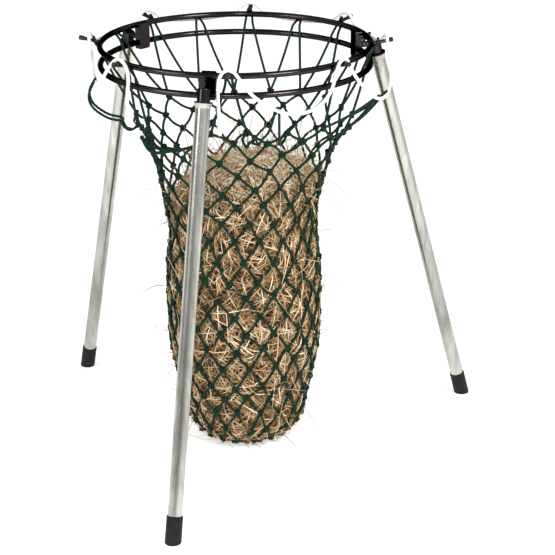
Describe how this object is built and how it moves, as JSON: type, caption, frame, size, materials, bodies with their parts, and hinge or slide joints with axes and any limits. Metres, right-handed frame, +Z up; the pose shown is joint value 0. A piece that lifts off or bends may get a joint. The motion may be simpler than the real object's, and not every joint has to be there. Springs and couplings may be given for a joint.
{
  "type": "hay net on filling stand",
  "caption": "Knotted rope hay net, filled with hay, hung open by a drawstring on the pegs of a double hoop that stands on splayed tube legs.",
  "frame": {"origin": "on the floor, under the axis of the two hoops", "axes": "+Z up along the axis of the hoops; +X to the right and +Y away from the person who fills the net, so that one leg stands towards -Y"},
  "size_m": [0.8867, 0.9058, 0.8685],
  "materials": {
    "black_coating": "gloss black coating over steel",
    "galvanised_steel": "galvanised, satin",
    "black_rubber": "matte",
    "peg_cap_plastic": "soft gloss",
    "green_net_rope": "twisted polypropylene rope",
    "white_cord": "braided cord",
    "hay": "dry hay"
  },
  "bodies": {
    "stand": {"leg_plate_front": "black_coating", "leg_plate_left": "black_coating", "leg_plate_right": "black_coating", "leg_stub_front": "black_coating", "leg_stub_left": "black_coating", "leg_stub_right": "black_coating", "lower_ring": "black_coating", "peg_1": "black_coating", "peg_2": "black_coating", "peg_3": "black_coating", "peg_4": "black_coating", "peg_5": "black_coating", "peg_6": "black_coating", "peg_7": "black_coating", "peg_8": "black_coating", "peg_cap_1": "peg_cap_plastic", "peg_cap_2": "peg_cap_plastic", "peg_cap_3": "peg_cap_plastic", "peg_cap_4": "peg_cap_plastic", "peg_cap_5": "peg_cap_plastic", "peg_cap_6": "peg_cap_plastic", "peg_cap_7": "peg_cap_plastic", "peg_cap_8": "peg_cap_plastic", "stop_collar_front": "black_coating", "stop_collar_left": "black_coating", "stop_collar_right": "black_coating", "upper_ring": "black_coating"},
    "net": {"net_bag": "green_net_rope", "net_mouth": "green_net_rope", "hay_fill": "hay", "drawstring": "white_cord", "drawstring_knot_front": "white_cord", "drawstring_knot_left": "white_cord"},
    "leg_front": {"leg_tube_front": "galvanised_steel", "foot_cap_front": "black_rubber"},
    "leg_left": {"leg_tube_left": "galvanised_steel", "foot_cap_left": "black_rubber"},
    "leg_right": {"leg_tube_right": "galvanised_steel", "foot_cap_right": "black_rubber"}
  },
  "joints": [
    {"name": "leg_front_pull", "type": "slide", "parent": "stand", "child": "leg_front", "axis": [-0.0785, -0.2514, -0.9647], "range_m": [0, 0.055]},
    {"name": "leg_left_pull", "type": "slide", "parent": "stand", "child": "leg_left", "axis": [-0.1579, 0.2033, -0.9663], "range_m": [0, 0.055]},
    {"name": "leg_right_pull", "type": "slide", "parent": "stand", "child": "leg_right", "axis": [0.2458, 0.1201, -0.9619], "range_m": [0, 0.055]},
    {"name": "net_lift", "type": "slide", "parent": "stand", "child": "net", "axis": [0, 0, 1], "range_m": [0, 0.9]}
  ]
}
